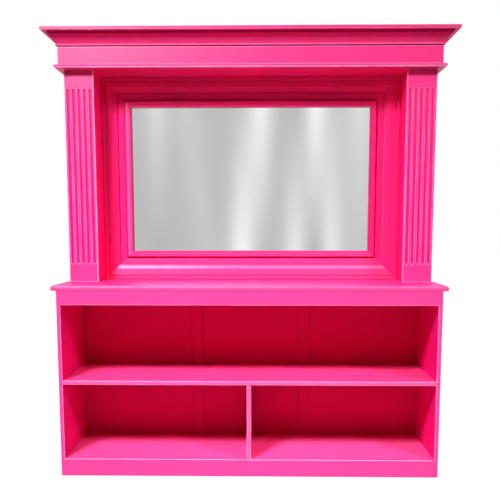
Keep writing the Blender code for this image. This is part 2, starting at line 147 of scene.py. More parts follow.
class Graph:
    """The nodes of a material or a world, with short calls that add nodes and link them."""

    def __init__(self, owner: bpy.types.ID, shader: str = "Principled BSDF") -> None:
        """Start from the nodes that the owner comes with.

        Args:
            owner: The material or world.
            shader: The name of its own shader.
        """
        owner.use_nodes = True
        self.tree = owner.node_tree
        self.shader = self.tree.nodes[shader]

    def feed(self, node: bpy.types.Node, inputs: Mapping[object, object]) -> None:
        """Link or set a node's inputs.

        Args:
            node: The node to feed.
            inputs: Sockets to link or plain values to set, by the input's name or number.
        """
        for key, value in inputs.items():
            socket = node.inputs[key]
            if isinstance(value, Socket):
                self.tree.links.new(value, socket)
            else:
                socket.default_value = (*value, 1.0) if socket.type == "RGBA" else value

    def add(self, kind: str, inputs: Mapping[object, object], **settings: object) -> bpy.types.Node:
        """Add a node.

        Args:
            kind: The node's type without its common prefix.
            inputs: What feeds the node, as in feed.
            **settings: The node's own settings.

        Returns:
            The new node.
        """
        node = self.tree.nodes.new("ShaderNode" + kind)
        for key, value in settings.items():
            setattr(node, key, value)
        self.feed(node, inputs)
        return node

    def place(self) -> Socket:
        """Give the point on the piece, in the frame's coordinates."""
        return self.add("TexCoord", {}).outputs["Object"]

    def stretched(self, stretch: Sequence[float]) -> Socket:
        """Give the point on the piece with each coordinate multiplied by a stretch."""
        return self.add("Mapping", {"Vector": self.place(), "Scale": stretch}).outputs["Vector"]

    def noise(self, vector: Socket, scale: float, detail: float = 3.0) -> Socket:
        """Give a cloudy value between 0 and 1, from clouds in a metre and a number of finer layers."""
        return self.add("TexNoise", {"Vector": vector, "Scale": scale, "Detail": detail}).outputs["Fac"]

    def maths(self, operation: str, *values: object) -> Socket:
        """Give the result of a sum on sockets or plain numbers."""
        return self.add("Math", dict(enumerate(values)), operation=operation).outputs[0]

    def span(self, value: Socket, start: Span, end: Span) -> Socket:
        """Map a value from one span to another, held at the ends."""
        names = ("Value", "From Min", "From Max", "To Min", "To Max")
        return self.add("MapRange", dict(zip(names, (value, *start, *end)))).outputs["Result"]

    def swing(self, clouds: Socket, middle: float, reach: float) -> Socket:
        """Give a number that a cloudy value moves to either side of its middle."""
        return self.span(clouds, NOISE_MIDDLE, (middle - reach, middle + reach))

    def blend(self, share: Socket, first: object, second: object) -> Socket:
        """Mix two colours, as sockets or plain, by how much of the second one shows."""
        return self.add("Mix", {0: share, 6: first, 7: second}, data_type="RGBA").outputs[2]

    def relief(self, height: Socket, depth: float) -> None:
        """Raise the surface by a height between 0 and 1, at a depth in metres."""
        bump = self.add("Bump", {"Height": height, "Distance": depth, "Strength": 1.0})
        self.feed(self.shader, {"Normal": bump.outputs["Normal"]})


@dataclass(frozen=True)
class Finish:
    """What every finish has: a name and a slot name, which nothing here reads."""

    name: str
    slot: str

    def make(self, graph: Graph, run: Run) -> None:
        """Add the finish's nodes for pieces that run one way."""
        raise NotImplementedError

    def dress(self, piece: bpy.types.Object, run: Run) -> None:
        """Put the finish on a piece, and make its material on first use.

        Args:
            piece: The object to dress.
            run: The way that the piece runs.
        """
        name = f"{self.name}_{run.name.lower()}"
        material = bpy.data.materials.get(name)
        if material is None:
            material = bpy.data.materials.new(name)
            self.make(Graph(material), run)
        piece.data.materials.clear()
        piece.data.materials.append(material)


class Coat(NamedTuple):
    """How a coat of paint shines, and the pale colour of its wear and painted highlights."""

    # Pale colour for worn edges and painted highlights.
    wear_and_highlight: Colour
    tint: Colour
    roughness: float
    sheen: float


@dataclass(frozen=True)
class Paint(Finish):
    """Brushed paint, uneven in tone, with wear and painted highlight on edges and painted shade in
    recesses.
    """

    colour: Colour
    coat: Coat
    # Shares of the paint's colour that make its painted-shade colour.
    shade_shares: Colour = (0.38, 0.02, 0.30)
    unevenness: float = 0.07
    cloud_scale: float = 1.9
    # How far a full positive mark pales the paint, for wear and painted highlight.
    pale_share: float = 0.62
    wear_scale: float = 24.0
    wear_span: Span = (0.35, 0.65)
    wear_shares: Span = (0.7, 1.0)
    gloss_reach: float = 0.04
    brush_scale: float = 160.0
    brush_share: float = 0.6
    stipple_scale: float = 620.0
    stipple_depth: float = 0.00012

    def make(self, graph: Graph, run: Run) -> None:
        """Add the paint with its brush marks, roller stipple, worn and painted-highlight edges and painted
        shade.

        Args:
            graph: The material's nodes.
            run: The way that the brush went.
        """
        place = graph.place()
        clouds = graph.noise(place, self.cloud_scale)
        brushed = graph.noise(graph.stretched(run.value), self.brush_scale)
        stipple = graph.noise(place, self.stipple_scale, detail=2.0)
        worn = graph.noise(place, self.wear_scale, detail=4.0)
        edge = graph.add("Attribute", {}, attribute_name=WEAR_AND_PAINTED_LIGHT).outputs["Fac"]
        deep = tuple(value * (1.0 - self.unevenness) for value in self.colour)
        tone = graph.blend(graph.span(clouds, NOISE_MIDDLE, UNIT), deep, self.colour)
        wear = graph.span(worn, self.wear_span, self.wear_shares)
        # Positive marks pale the paint for wear and painted highlight; negative marks darken it as painted
        # shade.
        pale = graph.maths("MULTIPLY", graph.maths("MAXIMUM", edge, 0.0), wear)
        wear_and_highlight = graph.maths("MULTIPLY", pale, self.pale_share)
        painted_shade = graph.maths("MAXIMUM", graph.maths("MULTIPLY", edge, FULL_SHADE), 0.0)
        shade_colour = tuple(value * share for value, share in zip(self.colour, self.shade_shares))
        cover = graph.blend(painted_shade, graph.blend(wear_and_highlight, tone, self.coat.wear_and_highlight), shade_colour)
        gloss = graph.swing(brushed, self.coat.roughness, self.gloss_reach)
        sheen = {"Specular Tint": self.coat.tint, "Specular IOR Level": self.coat.sheen}
        graph.feed(graph.shader, {"Base Color": cover, "Roughness": gloss} | sheen)
        graph.relief(graph.maths("MULTIPLY_ADD", brushed, self.brush_share, stipple), self.stipple_depth)


@dataclass(frozen=True)
class Wood(Finish):
    """Bare sheet material: veneer grain or pressed fibre in two tones."""

    pale: Colour
    dark: Colour
    grain_scale: float
    roughness: float
    gloss_reach: float = 0.08
    fibre_scale: float = 14.0
    fibre_share: float = 0.45
    grain_span: Span = (0.45, 0.95)
    grain_depth: float = 0.0002

    def make(self, graph: Graph, run: Run) -> None:
        """Add the wood with its grain along the run.

        Args:
            graph: The material's nodes.
            run: The way that the grain goes.
        """
        point = graph.stretched(run.value)
        figure = graph.noise(point, self.grain_scale, detail=5.0)
        fibre = graph.noise(point, self.grain_scale * self.fibre_scale, detail=2.0)
        grain = graph.maths("MULTIPLY_ADD", fibre, self.fibre_share, figure)
        tone = graph.blend(graph.span(grain, self.grain_span, UNIT), self.pale, self.dark)
        gloss = graph.swing(figure, self.roughness, self.gloss_reach)
        graph.feed(graph.shader, {"Base Color": tone, "Roughness": gloss})
        graph.relief(grain, self.grain_depth)


@dataclass(frozen=True)
class ReflectionStreak:
    """A soft pale or dark band of painted reflection down the mirror, with place and strength at top and
    foot.
    """

    top_x: float
    foot_x: float
    width: float
    top_level: float
    foot_level: float

    def band(self, graph: Graph, across: Socket, climb: Socket) -> Socket:
        """Give the streak's level as a soft bell across the glass.

        Args:
            graph: The material's nodes.
            across: The place across the glass.
            climb: The place from the foot, 0, to the top, 1.

        Returns:
            The socket of the level that the streak adds.
        """
        middle = graph.maths("MULTIPLY_ADD", climb, self.top_x - self.foot_x, self.foot_x)
        away = graph.maths("DIVIDE", graph.maths("SUBTRACT", across, middle), self.width)
        square = graph.maths("MULTIPLY", away, away)
        bell = graph.maths("EXPONENT", graph.maths("MULTIPLY", square, -1.0))
        strength = graph.maths("MULTIPLY_ADD", climb, self.top_level - self.foot_level, self.foot_level)
        return graph.maths("MULTIPLY", bell, strength)


@dataclass(frozen=True)
class SilverWithPaintedReflection(Finish):
    """Silvered glass whose silver carries soft vertical streaks of painted reflection."""

    silver: float
    streaks: tuple[ReflectionStreak, ...]
    height: Span
    roughness: float = 0.10
    gloss_reach: float = 0.02
    haze_scale: float = 6.0

    def make(self, graph: Graph, run: Run) -> None:
        """Add the silver as a level to which each streak of painted reflection adds its own.

        Args:
            graph: The material's nodes.
            run: The way that the glass runs, which makes no difference to it.
        """
        place = graph.place()
        axes = graph.add("SeparateXYZ", {"Vector": place}).outputs
        climb = graph.span(axes["Z"], self.height, UNIT)
        level = self.silver
        for streak in self.streaks:
            level = graph.maths("ADD", level, streak.band(graph, axes["X"], climb))
        tone = graph.add("CombineColor", {"Red": level, "Green": level, "Blue": level}).outputs["Color"]
        gloss = graph.swing(graph.noise(place, self.haze_scale), self.roughness, self.gloss_reach)
        graph.feed(graph.shader, {"Base Color": tone, "Roughness": gloss, "Metallic": 1.0})


WHITE = (1.0, 1.0, 1.0)
HOT_PINK = (0.95, 0.036, 0.25)
PINK = (0.95, 0.049, 0.25)
# Paler copy of the pink: painted light on the bottom shelf, which faces the lamps.
LIT_SHELF_PINK = (0.95, 0.068, 0.31)
# Deeper copy of the pink: painted shade on casing, crown and soffit, and on the counter to darken its lit
# sheen.
SHADE_COPY_PINK = (0.95, 0.022, 0.205)
# Darker copy of the pink: painted shade on the niche's reveals.
SHADED_PINK = (0.92, 0.008, 0.175)
# Darker copy of the pink: painted shade on the base's side panels.
SIDE_SHADE_PINK = (0.93, 0.008, 0.205)
# Darkest copy of the pink: painted shade on the bays' back panels, battens and rear rail.
INNER_SHADE_PINK = (0.70, 0.006, 0.13)
# Pale colours that marks of wear and painted highlight mix towards.
PALE_PINK = (1.0, 0.46, 0.80)
BRIGHTER_PALE_PINK = (1.0, 0.60, 0.92)
WARM_SHEEN = (1.0, 0.12, 0.35)
GLOSS = Coat(BRIGHTER_PALE_PINK, WHITE, 0.46, 0.14)
SATIN = Coat(PALE_PINK, WARM_SHEEN, 0.36, 0.10)
DULL = Coat(PALE_PINK, WARM_SHEEN, 0.45, 0.06)
GLOSS_PAINT = Paint("gloss_paint", "gloss_paint", HOT_PINK, GLOSS)
# Pilaster paint whose painted shade in the flutes keeps the red and drops the green.
PILASTER_PAINT = Paint("pilaster_paint", "gloss_paint", HOT_PINK, GLOSS, shade_shares=(1.0, 0.02, 0.80))
# Counter paint in the deeper copy of the pink, darkening its lit sheen as painted shade.
COUNTER_PAINT = Paint("counter_paint", "gloss_paint", SHADE_COPY_PINK, GLOSS)
SATIN_PAINT = Paint("satin_paint", "satin_paint", PINK, SATIN)
# Casing paint in the deeper copy of the pink: painted shade for the casing, the soffit and the crown.
CASING_SHADE_PAINT = Paint("casing_shade_paint", "satin_paint", SHADE_COPY_PINK, SATIN)
# Bottom-shelf paint in the paler copy of the pink: painted light.
LIT_SHELF_PAINT = Paint("shelf_paint", "satin_paint", LIT_SHELF_PINK, SATIN)
REVEAL_SHADE_PAINT = Paint("reveal_shade_paint", "satin_paint", SHADED_PINK, DULL)
SIDE_SHADE_PAINT = Paint("side_shade_paint", "satin_paint", SIDE_SHADE_PINK, DULL)
INNER_SHADE_PAINT = Paint("inner_shade_paint", "satin_paint", INNER_SHADE_PINK, DULL)
PLYWOOD = Wood("bare_plywood", "bare_plywood", (0.66, 0.47, 0.28), (0.42, 0.26, 0.13), 34.0, 0.68)
HARDBOARD = Wood("hardboard", "hardboard", (0.27, 0.15, 0.08), (0.16, 0.08, 0.04), 90.0, 0.75)


def place_object(name: str, data: bpy.types.ID) -> bpy.types.Object:
    """Add an object to the scene.

    Args:
        name: The object's name.
        data: Its mesh, lamp or camera.

    Returns:
        The new object.
    """
    item = bpy.data.objects.new(name, data)
    bpy.context.scene.collection.objects.link(item)
    return item


def make_mesh(name: str, shape: bmesh.types.BMesh) -> bpy.types.Mesh:
    """Turn a bmesh into a mesh and free it.

    Args:
        name: The mesh's name.
        shape: The bmesh.

    Returns:
        The new mesh.
    """
    mesh = bpy.data.meshes.new(name)
    shape.to_mesh(mesh)
    shape.free()
    return mesh


def add_piece(name: str, mesh: bpy.types.Mesh, finish: Finish, run: Run, node: str) -> None:
    """Add a finished piece in place of a plain solid.

    Args:
        name: The piece's name.
        mesh: Its mesh, in the frame's coordinates.
        finish: Its finish.
        run: The way that it runs.
        node: The solid that it stands for.
    """
    mesh.shade_smooth()
    mesh.set_sharp_from_angle(angle=SMOOTH_ANGLE)
    piece = place_object(name, mesh)
    shading = piece.modifiers.new("even_shading", "WEIGHTED_NORMAL")
    shading.keep_sharp = True
    finish.dress(piece, run)
    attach(piece, BODY)
    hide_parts(node)
    LOG.info("%s: %d faces, %s", name, len(mesh.polygons), finish.name)


class Workpiece:
    """A piece in the making: a bmesh marking each face's wear and painted highlight, or painted shade if
    negative.
    """

    def __init__(self, node: str, kind: str, size: Vector) -> None:
        """Start with nothing on the bench.

        Args:
            node: The solid that the piece stands for.
            kind: What the piece is, for the end of its name.
            size: The piece's size, or the line that it runs along.
        """
        self.node = node
        self.name = f"{node}_{kind}"
        self.run = Run.of(size)
        self.shape = bmesh.new()
        self.mark = self.shape.faces.layers.float.new(WEAR_AND_PAINTED_LIGHT)
        self.start = Vector()
        self.depth = -FORWARD
        self.rise = UP

    def bisect(self, point: Vector, facing: Vector, trim: bool = False) -> list[bmesh.types.BMEdge]:
        """Part every face that crosses a plane.

        Args:
            point: A point of the plane.
            facing: The way that the plane faces.
            trim: Whether what lies beyond the plane is cut off.

        Returns:
            The edges in the plane.
        """
        everything = self.shape.verts[:] + self.shape.edges[:] + self.shape.faces[:]
        cut = bmesh.ops.bisect_plane(
            self.shape, geom=everything, plane_co=point, plane_no=facing, clear_outer=trim
        )
        return [item for item in cut["geom_cut"] if isinstance(item, bmesh.types.BMEdge)]

    def mark_patches(self, patches: Sequence[Patch]) -> None:
        """Mark the faces whose middles lie in some patches of the piece's section.

        Args:
            patches: The patches, where a later one covers an earlier one.
        """
        for face in self.shape.faces:
            middle = face.calc_center_median() - self.start
            away, up = middle.dot(self.depth), middle.dot(self.rise)
            for patch in patches:
                if patch.depth[0] < away < patch.depth[1] and patch.rise[0] < up < patch.rise[1]:
                    face[self.mark] = patch.level

    def ease(
        self, edges: Iterable[bmesh.types.BMEdge], radius: float, steps: int = 3, level: float = 1.0
    ) -> None:
        """Round some edges and mark their new faces.

        Args:
            edges: The edges to round.
            radius: The rounding's radius.
            steps: How many flat strips make the round.
            level: How much the new faces are worn and given painted highlight.
        """
        made = bmesh.ops.bevel(
            self.shape,
            geom=list(edges),
            offset=radius,
            segments=steps,
            profile=0.5,
            affect="EDGES",
            material=-1,
        )
        for face in made["faces"]:
            face[self.mark] = level

    def face_out(self) -> None:
        """Turn every face outwards."""
        bmesh.ops.recalc_face_normals(self.shape, faces=self.shape.faces)
        if self.shape.calc_volume(signed=True) < 0.0:
            bmesh.ops.reverse_faces(self.shape, faces=self.shape.faces)

    def to_mesh(self, name: str) -> bpy.types.Mesh:
        """Turn the workpiece into a mesh and clear the bench."""
        self.face_out()
        return make_mesh(name, self.shape)

    def add(self, finish: Finish) -> None:
        """Add the workpiece as a finished piece."""
        add_piece(self.name, self.to_mesh(self.name), finish, self.run, self.node)


class Board(Workpiece):
    """A rectangular board in the place of its solid."""

    def __init__(self, node: str) -> None:
        """Saw the board.

        Args:
            node: The solid that it stands for.
        """
        self.low, self.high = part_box(node)
        super().__init__(node, "board", self.high - self.low)
        self.start = self.low
        bmesh.ops.create_cube(self.shape, size=1.0)
        bmesh.ops.scale(self.shape, verts=self.shape.verts, vec=self.high - self.low)
        bmesh.ops.translate(self.shape, verts=self.shape.verts, vec=(self.low + self.high) / 2)

    def lies_in(self, vertices: Iterable[bmesh.types.BMVert], side: Face) -> bool:
        """Tell whether an edge or a face lies in one of the board's own faces.

        Args:
            vertices: The vertices of the edge or the face.
            side: The board's own face.

        Returns:
            Whether it lies there.
        """
        axis, upper = FACE_SIDES[side]
        level = (self.high if upper else self.low)[axis]
        return all(abs(vertex.co[axis] - level) < TOUCH for vertex in vertices)

    def touches(self, edge: bmesh.types.BMEdge, faces: Face) -> bool:
        """Tell whether an edge lies in one of some of the board's own faces."""
        return any(self.lies_in(edge.verts, side) for side in faces)

    def joins(self, edge: bmesh.types.BMEdge, faces: Face) -> bool:
        """Tell whether an edge lies in every one of some of the board's own faces."""
        return all(self.lies_in(edge.verts, side) for side in faces)

    def mark_sides(self, marks: Iterable[tuple[Face, float]]) -> None:
        """Mark the faces that lie in some of the board's own sides.

        Args:
            marks: The sides, and how much each is worn and given painted highlight, or painted shade where
                negative.
        """
        for side, level in marks:
            for face in self.shape.faces:
                if self.lies_in(face.verts, side):
                    face[self.mark] = level

    def score(self, level: float, axis: int = 2) -> None:
        """Part every face that crosses a level of an axis, without cutting the board."""
        facing = Vector([float(index == axis) for index in range(3)])
        self.bisect(facing * level, facing)

    def shade(self, shade: Shade, steps: int = 10) -> None:
        """Paint shade on one side of the board in narrow strips.

        Args:
            shade: The side, and how its painted shade darkens.
            steps: How many strips there are.
        """
        reach = shade.dark - shade.clean
        for step in range(steps + 1):
            self.score(shade.clean + reach / steps * step, shade.axis)
        for face in self.shape.faces:
            share = (face.calc_center_median()[shade.axis] - shade.clean) / reach
            if 0.0 < share < 1.0 and self.lies_in(face.verts, shade.side):
                face[self.mark] = shade.level * share

    def ease_free_edges(self, joined: Face, radius: float, level: float = 1.0) -> None:
        """Round every edge that doesn't lie in a face joined to another board."""
        free = [edge for edge in self.shape.edges if not self.touches(edge, joined)]
        self.ease(free, radius, level=level)

    def ease_rim(self, side: Face, radius: float, level: float, steps: int = 6) -> None:
        """Round the board's front and end edges at its top or its foot."""
        rim = [edge for edge in self.shape.edges if self.touches(edge, side)]
        self.ease([edge for edge in rim if not self.touches(edge, Face.BACK)], radius, steps, level)


class Moulding(Workpiece):
    """A straight length of moulding."""

    def __init__(
        self,
        node: str,
        section: Section,
        ends: tuple[Vector, Vector],
        depth: Vector,
        rise: Vector,
        spare: float = 0.0,
    ) -> None:
        """Draw a cross-section out, longer than it will be cut.

        Args:
            node: The solid that the moulding stands for.
            section: The section's points, as distances along depth and rise.
            ends: The section's own origin at the start and at the end.
            depth: The direction of each point's first distance.
            rise: The direction of each point's second distance.
            spare: How much longer the moulding is at each end.
        """
        self.ends = ends
        run = ends[1] - ends[0]
        super().__init__(node, "moulding", run)
        self.along = run.normalized()
        self.start = ends[0]
        self.depth = depth
        self.rise = rise
        more = self.along * spare
        points = [self.start - more + depth * away + rise * up for away, up in section]
        face = self.shape.faces.new([self.shape.verts.new(point) for point in points])
        drawn = bmesh.ops.extrude_face_region(self.shape, geom=[face], use_keep_orig=True)
        moved = [item for item in drawn["geom"] if isinstance(item, bmesh.types.BMVert)]
        bmesh.ops.translate(self.shape, verts=moved, vec=run + more * 2)

    def ease_arrises(self, radius: float, level: float) -> None:
        """Round the moulding's sharp outer edges.

        Args:
            radius: The rounding's radius.
            level: How much the new faces are worn and given painted highlight.
        """
        self.face_out()
        sharp = []
        for edge in self.shape.edges:
            way = (edge.verts[1].co - edge.verts[0].co).normalized()
            if abs(way.dot(self.along)) > PARALLEL and edge.calc_face_angle_signed() > ARRIS_ANGLE:
                sharp.append(edge)
        self.ease(sharp, radius, steps=2, level=level)

    def fade(self, reach: float, least: float, steps: int = 12) -> None:
        """Let the pale strips of wear and painted highlight fade away from the moulding's start.

        Args:
            reach: How far it is to the weakest place.
            least: The share that is left there.
            steps: How many stretches the fading has.
        """
        for step in range(1, steps + 1):
            self.bisect(self.start + self.along * (reach * step / steps), self.along)
        for face in self.shape.faces:
            share = min((face.calc_center_median() - self.start).dot(self.along) / reach, 1.0)
            if face[self.mark] > 0.0:
                face[self.mark] *= 1.0 - (1.0 - least) * share

    def cut_ends(self, first: Mitre, last: Mitre, gap: float) -> None:
        """Cut both ends and close them.

        Args:
            first: The cut at the start.
            last: The cut at the end.
            gap: How far a mitre stays back, for the joint line.
        """
        for corner, way, mitre in zip(self.ends, (-self.along, self.along), (first, last)):
            facing = (way + self.depth * mitre.value).normalized()
            rim = self.bisect(corner - facing * (gap * abs(mitre.value)), facing, trim=True)
            bmesh.ops.edgeloop_fill(self.shape, edges=rim)


def add_board(
    node: str,
    finish: Finish,
    joined: Face = Face.NONE,
    radius: float = PANEL_ARRIS,
    marks: Sequence[tuple[Face, float]] = (),
    wear_and_highlight: float = 1.0,
    shades: Sequence[Shade] = (),
) -> None:
    """Add a board with eased free edges in place of its solid.

    Args:
        node: The solid that it stands for.
        finish: Its finish.
        joined: The faces that are glued to a neighbour, whose edges stay sharp.
        radius: The radius of the free edges.
        marks: How much some of its faces are worn and given painted highlight, or painted shade where
            negative.
        wear_and_highlight: How much its free edges are worn and given painted highlight, or painted shade
            where negative.
        shades: How the painted shade on its sides darkens.
    """
    work = Board(node)
    work.ease_free_edges(joined, radius, wear_and_highlight)
    work.mark_sides(marks)
    for shade in shades:
        work.shade(shade)
    work.add(finish)


def add_nosed_board(
    node: str,
    finish: Finish,
    noses: Pair,
    foot_wear_and_highlight: float = 0.0,
    marks: Sequence[tuple[Face, float]] = (),
    top_wear_and_highlight: float = 0.2,
) -> None:
    """Add a board whose front and ends are rounded over at the top and the foot.

    Args:
        node: The solid that it stands for.
        finish: Its finish.
        noses: The radii of the upper and the lower rounding.
        foot_wear_and_highlight: How much the lower rounding is worn and given painted highlight.
        marks: How much some of its faces are worn and given painted highlight, or painted shade where
            negative.
        top_wear_and_highlight: How much the upper rounding is worn and given painted highlight.
    """
    work = Board(node)
    work.ease_rim(Face.TOP, noses[0], top_wear_and_highlight)
    work.ease_rim(Face.FOOT, noses[1], foot_wear_and_highlight)
    work.mark_sides(marks)
    work.add(finish)


def quarter(start: Pair, end: Pair, bulge: bool, steps: int = 10) -> Section:
    """Give the points of a quarter ellipse.

    Args:
        start: The first point.
        end: The last point.
        bulge: Whether it leaves the start along the first direction, and not along the second.
        steps: How many straight strips make the curve.

    Returns:
        The points, with both ends.
    """
    points = []
    for step in range(steps + 1):
        angle = math.pi / 2 * step / steps
        early = math.sin(angle)
        late = 1.0 - math.cos(angle)
        first, second = (early, late) if bulge else (late, early)
        points.append((start[0] + (end[0] - start[0]) * first, start[1] + (end[1] - start[1]) * second))
    return points


def hollow(start: Pair, end: Pair, depth: float, steps: int = 16) -> Section:
    """Give the points of a shallow hollow.

    Args:
        start: The first point.
        end: The last point.
        depth: How far it bends to the left of the way from start to end.
        steps: How many straight strips make the curve.

    Returns:
        The points, with both ends.
    """
    chord = Vector(end) - Vector(start)
    inward = Vector((-chord.y, chord.x)).normalized()
    points = []
    for step in range(steps + 1):
        share = step / steps
        bend = depth * 4.0 * share * (1.0 - share)
        points.append(tuple(Vector(start) + chord * share + inward * bend))
    return points


@dataclass(frozen=True)
class BaseCabinet:
    """The open-shelf base: sides, rails, shelves, divider, plinth, back and counter."""

    arris: float = 0.0026
    counter_noses: Pair = (0.009, 0.003)
    # Pale marks as painted light: the counter's front, and the fronts of shelf, divider and sides.
    counter_front_light: float = 0.12
    front_face_light: float = 0.16
    # Slight painted light on a side's outer face, and painted shade on its face in the bays.
    outer_face_light: float = 0.05
    inner_shade: float = -0.27
    # Painted shade at the foot of the back panels and at the rear of the shelves.
    shade_height: float = 0.13
    shade_depth: float = 0.16
    back_shade: float = -0.45
    shelf_shade: float = -0.43

    def build(self) -> None:
        """Build and dress every board of the base."""
        self.add_side("left", Face.LEFT, Face.RIGHT)
        self.add_side("right", Face.RIGHT, Face.LEFT)
        self.add_carcase()
        self.add_back()
        front = ((Face.FRONT, self.counter_front_light),)
        add_nosed_board("counter_top", COUNTER_PAINT, self.counter_noses, marks=front)

    def add_carcase(self) -> None:
        """Add the boards that make the open bays and the plinth."""
        ends = Face.LEFT | Face.RIGHT
        boards = {
            "base_top_rail": (SATIN_PAINT, ends | Face.TOP, 0.0),
            # The rear rail takes the darkest copy of the pink as painted shade.
            "base_rear_rail": (INNER_SHADE_PAINT, ends | Face.TOP | Face.BACK, 0.0),
            "middle_shelf": (SATIN_PAINT, ends | Face.BACK, self.front_face_light),
            "shelf_divider": (SATIN_PAINT, Face.TOP | Face.FOOT | Face.BACK, self.front_face_light),
            # The bottom shelf takes the paler copy of the pink as painted light.
            "bottom_shelf": (LIT_SHELF_PAINT, ends | Face.FRONT, 0.0),
            "plinth_front": (SATIN_PAINT, ends | Face.BACK, 0.0),
        }
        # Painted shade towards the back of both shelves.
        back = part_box("back_batten_upper_left")[0].y
        rear = Shade(Face.TOP, 1, back - self.shade_depth, back, self.shelf_shade)
        for node, (finish, faces, wear) in boards.items():
            shades = (rear,) if node.endswith("_shelf") else ()
            add_board(node, finish, faces, self.arris, ((Face.FRONT, wear),), shades=shades)
        for node in ("plinth_rear_bearer", "plinth_centre_bearer"):
            add_board(node, PLYWOOD)

    def add_side(self, side: str, outer: Face, inner: Face) -> None:
        """Add a side panel, whose inner front edge is eased only along the open bays.

        Args:
            side: Left or right.
            outer: Its face that shows from outside.
            inner: Its face that shows in the bays.
        """
        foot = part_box("plinth_front")[1].z
        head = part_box("base_top_rail")[0].z
        work = Board(f"base_side_{side}")
        inside = Face.FRONT | inner
        free = [edge for edge in work.shape.edges if not work.touches(edge, Face.TOP)]
        work.ease([edge for edge in free if not work.joins(edge, inside)], self.arris)
        for level in (foot - self.arris, foot, head, head + self.arris):
            work.score(level)
        bays = []
        for edge in work.shape.edges:
            middle = sum(end.co.z for end in edge.verts) / 2
            if work.joins(edge, inside) and foot < middle < head:
                bays.append(edge)
        work.ease(bays, self.arris)
        # The front and outer faces get painted light, the bay face painted shade.
        marks = ((Face.FRONT, self.front_face_light), (outer, self.outer_face_light), (inner, self.inner_shade))
        work.mark_sides(marks)
        # The side takes the darker copy of the pink as painted shade.
        work.add(SIDE_SHADE_PAINT)

    def add_back(self) -> None:
        """Add the back panels and the battens over their seams."""
        feet = [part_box(node)[1].z for node in ("bottom_shelf", "middle_shelf")]
        shades = [Shade(Face.FRONT, 2, foot + self.shade_height, foot, self.back_shade) for foot in feet]
        # Back panels and battens take the darkest copy of the pink as painted shade, darker towards each
        # bay's floor.
        for place in ("left", "centre", "right"):
            add_board(f"base_back_panel_{place}", INNER_SHADE_PAINT, wear_and_highlight=0.0, shades=shades)
        faces = Face.BACK | Face.TOP | Face.FOOT
        for bay, shade in zip(("lower", "upper"), shades):
            for side in SIDES:
                # The battens' free edges get full painted shade.
                add_board(f"back_batten_{bay}_{side}", INNER_SHADE_PAINT, faces, wear_and_highlight=FULL_SHADE, shades=(shade,))


